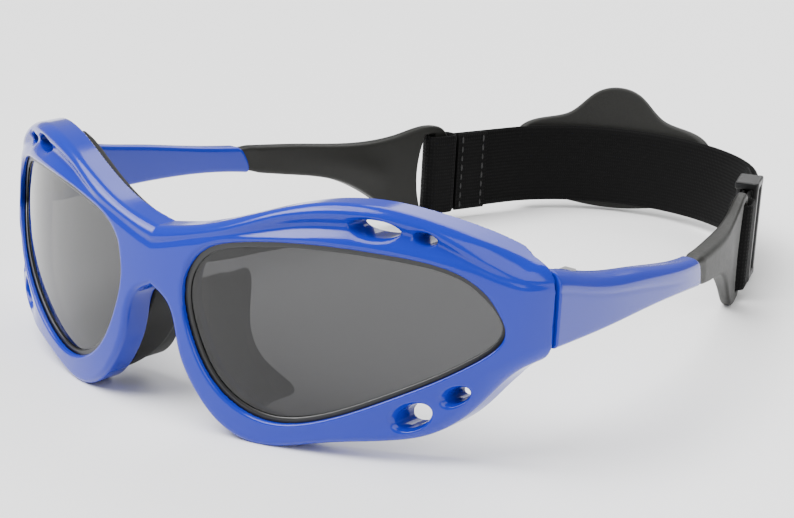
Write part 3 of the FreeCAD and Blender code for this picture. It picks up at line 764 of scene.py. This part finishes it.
# %% [markdown]
# The strap runs straight back from each end bar and then round the back of
# the head in one even bend. Everything on the strap is placed by how far
# along it sits, how far outside its middle line, and how high.

# %% Path of the strap
STRAP_RADIUS, STRAP_LOW, STRAP_WIDE, THICK = 38.0, 2.4, 20.0, 1.2
BAR = np.array([42.719, TIP_Y - 2.5])
BEND = np.array([0.0, BAR[1] + 7.0])
reach = math.hypot(*(BAR - BEND))
TANGENT = math.atan2(BAR[1] - BEND[1], BAR[0]) + math.acos(STRAP_RADIUS / reach)
RUN = math.sqrt(reach ** 2 - STRAP_RADIUS ** 2)
WHOLE = 2 * RUN + STRAP_RADIUS * (math.pi - 2 * TANGENT)
AHEAD = np.array([-math.sin(TANGENT), math.cos(TANGENT)])
OUTWARD = np.array([math.cos(TANGENT), math.sin(TANGENT)])


def strap_line(along):
    """Places on the strap's middle line, and the way straight out from each."""
    places, ways = [], []
    for s in np.atleast_1d(along):
        mirror = s > WHOLE / 2
        s = WHOLE - s if mirror else s
        if s < RUN:
            place, way = BAR + AHEAD * s, OUTWARD
        else:
            turn = TANGENT + (s - RUN) / STRAP_RADIUS
            way = np.array([math.cos(turn), math.sin(turn)])
            place = BEND + STRAP_RADIUS * way
        side = np.array([-1.0 if mirror else 1.0, 1.0])
        places.append(place * side)
        ways.append(way * side)
    return np.array(places), np.array(ways)


print("strap between the end bars", round(WHOLE, 1), "mm; straight run", round(RUN, 2))

# %% [markdown]
# Webbing is woven on a narrow loom: warp threads run its length and the weft
# crosses them, turning back at a slightly fatter edge. The weave here is two
# sets of stripes measured along and across the strap, so it follows the bend.

# %% Webbing finish
webbing = finish("webbing", (0.003, 0.003, 0.003), 0.72, Specular_IOR_Level=0.1,
                 Sheen_Weight=0.02)
tree = webbing.node_tree
cloth_map = node(webbing, "ShaderNodeUVMap", uv_map="UVMap").outputs["UV"]
warp = node(webbing, "ShaderNodeTexWave", {"Vector": cloth_map}, Scale=0.36, Distortion=0.4)
weft = node(webbing, "ShaderNodeTexWave", {"Vector": cloth_map}, Scale=0.55, Distortion=0.4,
            bands_direction="Y")
weave = node(webbing, "ShaderNodeMath", operation="MULTIPLY")
tree.links.new(warp.outputs["Fac"], weave.inputs[0])
tree.links.new(weft.outputs["Fac"], weave.inputs[1])
raised = node(webbing, "ShaderNodeBump", {"Height": weave.outputs["Value"]}, Strength=0.7,
              Distance=0.00015)
tree.links.new(raised.outputs["Normal"], tree.nodes["Principled BSDF"].inputs["Normal"])
fibre = node(webbing, "ShaderNodeMix", {"Factor": weave.outputs["Value"]}, data_type="RGBA")
fibre.inputs["A"].default_value = (0.0015, 0.0015, 0.0015, 1)
fibre.inputs["B"].default_value = (0.005, 0.005, 0.005, 1)
tree.links.new(fibre.outputs["Result"], tree.nodes["Principled BSDF"].inputs["Base Color"])
print("finishes so far:", len(bpy.data.materials))

# %% [markdown]
# One section, drawn as offset and height, is carried along a line to make any
# flat strip. The webbing section has rounded, slightly fat edges and two low
# ribs, as a tape has where the outer warp threads are doubled.

# %% Strips


def tape(near, low=STRAP_LOW, wide=STRAP_WIDE, thick=THICK):
    """Closed section of a tape as (offset, height), starting low on the inside."""
    height = np.linspace(0, 1, 33)
    rib = 0.07 * (np.exp(-((height - 0.07) / 0.02) ** 2) + np.exp(-((height - 0.93) / 0.02) ** 2))
    half = (thick / 2 - 0.07) * np.clip(np.sin(np.pi * np.clip(height * 14, 0, 0.5)), 0.35, 1)
    half = np.minimum(half, half[::-1]) + rib
    z = low + wide * height
    middle = near + thick / 2
    return np.vstack([np.stack([middle - half, z], axis=1),
                      np.stack([middle + half, z], axis=1)[::-1]])


def sweep(places, ways, section, closed=False):
    count = len(section)
    points = np.array([(*(p + w * out), z) for p, w in zip(places, ways) for out, z in section])
    faces = ring_faces(len(places) + (1 if closed else 0), count)
    faces = [tuple(k % len(points) for k in f) for f in faces]
    if not closed:
        faces += [tuple(range(count))[::-1], tuple(range(len(points) - count, len(points)))]
    gaps = np.linalg.norm(np.diff(places, axis=0), axis=1)
    along = np.concatenate([[0], np.cumsum(gaps)])
    edge = np.linalg.norm(np.diff(section, axis=0), axis=1)
    across = np.concatenate([[0], np.cumsum(edge)])
    uv = [(u, v) for v in along for u in across]
    a, b, c = (points[list(faces[0])[k]] for k in range(3))
    centre = points[:count].mean(axis=0)
    if np.dot(np.cross(b - a, c - a), a - centre) < 0:
        faces = [f[::-1] for f in faces]
    points[:, 1] += BENCH_Y
    return points, faces, uv


def strip(name, start, end, near, body=None, step=0.6):
    along = np.linspace(start, end, int(abs(end - start) / step) + 2)
    places, ways = strap_line(along)
    points, faces, uv = sweep(places, ways, tape(near))
    piece = make_piece(name, points, faces, webbing, uv=uv)
    if body:
        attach(piece, body)
    return piece


# %% [markdown]
# The head strap is one length of 20 mm tape. Its loose end lies back along the inside on the left; on
# the right the end is folded over and sewn down.

# %% Webbing
START_AT = 4.0
LAYER_AT, LOOSE_END, SEWN_END = START_AT + 0.6, 34.6, 13.7
strap = strip("head_strap", START_AT, WHOLE - START_AT, -THICK / 2)
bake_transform(strap)
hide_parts("strap_webbing_left", "strap_webbing_right")

INNER = -THICK / 2 - 0.15 - THICK
tail = strip("strap_loose_end", LAYER_AT, LOOSE_END, INNER, "strap_left")
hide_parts("strap_tail")
doubled = strip("strap_sewn_end", WHOLE - SEWN_END, WHOLE - LAYER_AT, INNER, "strap_right")
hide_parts("strap_fold_over")

# %% [markdown]
# At each end the tape goes once round the end bar, leaving a little room so
# that it can turn.

# %% Loops round the end bars
turns = np.linspace(0, 2 * np.pi, 96, endpoint=False)
long, short = 3.65, 1.95
corner = 0.9 * short
core = np.stack([np.clip(np.cos(turns) * 9, -(long - corner), long - corner),
                 np.clip(np.sin(turns) * 9, -(short - corner), short - corner)], axis=1)
ways = np.stack([np.cos(turns), np.sin(turns)], axis=1)
frame_of = np.stack([AHEAD, OUTWARD])
places = BAR + (core + ways * corner) @ frame_of
points, faces, uv = sweep(places, ways @ frame_of, tape(0.0, thick=0.9), closed=True)
make_pair("strap_bar_loop", points, faces, webbing, uv=uv)

# %% [markdown]
# The doubled end is closed by two rows of lock stitches. Only the crossing
# threads show: each is a small grain of thread, evenly spaced by the machine
# and never quite the same size twice. A point tree lays them along each row.

# %% Stitches
tree = bpy.data.node_groups.new("stitch_rows", "GeometryNodeTree")
face = tree.interface
face.new_socket("Geometry", in_out="INPUT", socket_type="NodeSocketGeometry")
face.new_socket("Geometry", in_out="OUTPUT", socket_type="NodeSocketGeometry")
wanted = {"Pitch": 0.0022, "Thread": 0.00022, "Length": 0.0016}
sockets = {}
for name in wanted:
    sockets[name] = face.new_socket(name, in_out="INPUT", socket_type="NodeSocketFloat")
thread_input = face.new_socket("Finish", in_out="INPUT", socket_type="NodeSocketMaterial")


def add(kind, **values):
    made = tree.nodes.new(kind)
    for key, value in values.items():
        setattr(made, key, value)
    return made


def join(source, out, target, into):
    tree.links.new(source.outputs[out], target.inputs[into])


given, result = add("NodeGroupInput"), add("NodeGroupOutput")
rows_of = add("GeometryNodeMeshToCurve")
spaced = add("GeometryNodeResampleCurve", mode="LENGTH")
grain = add("GeometryNodeMeshUVSphere")
grain.inputs["Segments"].default_value, grain.inputs["Rings"].default_value = 14, 10
grain.inputs["Radius"].default_value = 1.0
size = add("ShaderNodeCombineXYZ")
halved = add("ShaderNodeMath", operation="MULTIPLY")
halved.inputs[1].default_value = 0.5
shaped = add("GeometryNodeTransform")
laid = add("GeometryNodeInstanceOnPoints")
uneven = add("FunctionNodeRandomValue")
low_high = [s for s in uneven.inputs if s.type == "VALUE"]
low_high[0].default_value, low_high[1].default_value = 0.93, 1.07
uneven.inputs["Seed"].default_value = 7
real, coloured = add("GeometryNodeRealizeInstances"), add("GeometryNodeSetMaterial")
join(given, "Geometry", rows_of, "Mesh")
join(rows_of, "Curve", spaced, "Curve")
join(given, "Pitch", spaced, "Length")
join(given, "Thread", size, "X")
join(given, "Thread", size, "Y")
tree.links.new(given.outputs["Length"], halved.inputs[0])
tree.links.new(halved.outputs["Value"], size.inputs["Z"])
join(grain, "Mesh", shaped, "Geometry")
join(size, "Vector", shaped, "Scale")
join(spaced, "Curve", laid, "Points")
join(shaped, "Geometry", laid, "Instance")
tree.links.new([s for s in uneven.outputs if s.type == "VALUE"][0], laid.inputs["Scale"])
join(laid, "Instances", real, "Geometry")
join(real, "Geometry", coloured, "Geometry")
join(given, "Finish", coloured, "Material")
join(coloured, "Geometry", result, "Geometry")

# %% [markdown]
# The two rows are drawn as plain upright lines on the sewn end; the tree turns
# them into thread, and the thread is kept as an ordinary mesh.

# %% Stitch rows
line_points, line_edges = [], []
for along in (WHOLE - 5.9, WHOLE - 12.3):
    place, way = strap_line(along)
    x, y = (place + way * (INNER - 0.05))[0]
    for z in (STRAP_LOW + 1.6, STRAP_LOW + STRAP_WIDE - 1.6):
        line_points.append((x / 1000, (y + BENCH_Y) / 1000, z / 1000))
    line_edges.append((len(line_points) - 2, len(line_points) - 1))
rows_mesh = bpy.data.meshes.new("rows")
rows_mesh.from_pydata(line_points, line_edges, [])
rows_object = bpy.data.objects.new("rows", rows_mesh)
bpy.context.scene.collection.objects.link(rows_object)
change = rows_object.modifiers.new("stitches", "NODES")
change.node_group = tree
for name, value in wanted.items():
    change[sockets[name].identifier] = value
change[thread_input.identifier] = thread
bpy.context.view_layer.update()
ready = rows_object.evaluated_get(bpy.context.evaluated_depsgraph_get())
stitch_mesh = bpy.data.meshes.new_from_object(ready)
bpy.data.objects.remove(rows_object)
stitches = bpy.data.objects.new("sewn_stitches", stitch_mesh)
bpy.context.scene.collection.objects.link(stitches)
stitch_mesh.polygons.foreach_set("use_smooth", [True] * len(stitch_mesh.polygons))
settle(stitches, "strap_right", ["strap_stitching"])
print("stitches", len(stitch_mesh.polygons), "faces")

# %% [markdown]
# The length is set by a three-bar slider, moulded in hard black nylon. The
# tape passes under the two outer bars and over the middle one, which is what
# grips it when it is pulled.

# %% Slider
SLIDE_AT, SLIDE_LONG = 9.9, 9.0
OUTER_BAR, INNER_BAR = (0.75, 2.05), (-3.4, -2.1)


def block(s, w, z, along, across, up, r):
    """Rounded box between the given limits along, across and up."""
    sides = [np.abs(v - (lo + hi) / 2) - (hi - lo) / 2
             for v, (lo, hi) in zip((s, w, z), (along, across, up))]
    return both(both(sides[0], sides[1], r), sides[2], r)


def slider_solid(x, y, z):
    s = (x - BAR[0]) * AHEAD[0] + (y - BAR[1]) * AHEAD[1]
    w = (x - BAR[0]) * OUTWARD[0] + (y - BAR[1]) * OUTWARD[1]
    end, middle = SLIDE_AT + SLIDE_LONG, SLIDE_AT + (SLIDE_LONG - 2.2) / 2
    bars = either(block(s, w, z, (SLIDE_AT, SLIDE_AT + 2.2), OUTER_BAR, (0.4, 24.4), 0.45),
                  block(s, w, z, (end - 2.2, end), OUTER_BAR, (0.4, 24.4), 0.45), 0.2)
    bars = either(bars, block(s, w, z, (middle, middle + 2.2), INNER_BAR, (0.4, 24.4), 0.45), 0.2)
    for rail in ((0.4, 2.2), (22.6, 24.4)):
        bars = either(bars, block(s, w, z, (SLIDE_AT, end), (-3.4, 2.05), rail, 0.45), 0.2)
    return bars


def beside_run(s, w, z):
    return (BAR[0] + AHEAD[0] * s + OUTWARD[0] * w, BAR[1] + AHEAD[1] * s + OUTWARD[1] * w, z)


points, faces, normals = surface_net(slider_solid, beside_run, (SLIDE_AT - 0.6, -4.0, -0.2),
                                     (SLIDE_AT + SLIDE_LONG + 0.6, 2.6, 25.0), (0.22,) * 3)
points[:, 1] += BENCH_Y
settle(make_piece("three_bar_slider", points, faces, plastic, normals), "slider",
       ["strap_slider"])

# %% [markdown]
# The pad that rests on the back of the head is closed-cell neoprene foam. It
# is cut to shape and its edge is pressed thin and round, so the middle stands
# proud; the press leaves a shallow groove all round, just in from the edge.

# %% Head pad finish
neoprene = speckle(finish("neoprene", (0.012, 0.012, 0.011), 0.7, Specular_IOR_Level=0.25,
                          Sheen_Weight=0.05), 2600, 0.3,
                   tint=((0.010, 0.010, 0.009), (0.018, 0.018, 0.016)))

# %% [markdown]
# The pad is drawn flat, as it is cut, and then bent round the strap. It is
# fattest in the middle and has a hump above the strap and a lobe below.

# %% Head pad
PAD_AT, PAD_IN, PAD_THICK = math.radians(115.0), 0.75, 4.0
PAD_RADIUS = STRAP_RADIUS + PAD_IN + PAD_THICK / 2
top, low = STRAP_LOW + STRAP_WIDE, STRAP_LOW - 1.2
rise = [(-29, STRAP_LOW + 13), (-26.7, top - 1), (-18, top + 2), (-12.35, top + 3.4),
        (-5.85, top + 8.9), (0, top + 10.5)]
fall = [(0.0, low), (-7.25, low), (-15.95, low + 1.2), (-26.1, STRAP_LOW + 1), (-29, STRAP_LOW + 9)]
half_up, half_down = rise[:-1], fall[1:]
PAD = even(curve_through(np.array(
    rise + [(-u, z) for u, z in half_up[::-1]] + [(-u, z) for u, z in half_down[::-1]]
    + half_down), closed=True), 220, True)


def pad_solid(x, y, z):
    turn = np.arctan2(y - BEND[1], x - BEND[0])
    u = (PAD_AT - turn) * PAD_RADIUS
    out = np.hypot(x - BEND[0], y - BEND[1]) - STRAP_RADIUS
    edge = signed_distance(PAD, u, z)
    crown = 1.1 * np.exp(edge / 5.0)
    groove = 0.35 * np.exp(-((edge + 2.0) / 0.55) ** 2)
    face = out - (PAD_IN + PAD_THICK - crown - groove)
    body = both(both(face, edge, 1.4), PAD_IN - out, 0.5)
    return np.maximum(body, 0.3 - z)


def on_pad(u, z, out):
    turn = PAD_AT - u / PAD_RADIUS
    return (BEND[0] + (STRAP_RADIUS + out) * np.cos(turn),
            BEND[1] + (STRAP_RADIUS + out) * np.sin(turn), z)


pitch = 0.36
points, faces, normals = surface_net(pad_solid, on_pad, (-30.5, 0.0, 0.0), (30.5, 34.2, 5.6),
                                     (pitch, pitch, 0.3))
points[:, 1] += BENCH_Y
pad = settle(make_piece("neck_pad", points, faces, neoprene, normals), "strap_right",
             ["head_pad"])

# %% [markdown]
# The table is a plain pale surface under everything.

# %% Table
floor_mesh = bpy.data.meshes.new("floor")
floor_mesh.from_pydata([(-6, -6, 0), (6, -6, 0), (6, 6, 0), (-6, 6, 0)], [], [(0, 1, 2, 3)])
floor_mesh.materials.append(finish("table", (0.92, 0.92, 0.92), 0.6))
floor = bpy.data.objects.new("floor", floor_mesh)
bpy.context.scene.collection.objects.link(floor)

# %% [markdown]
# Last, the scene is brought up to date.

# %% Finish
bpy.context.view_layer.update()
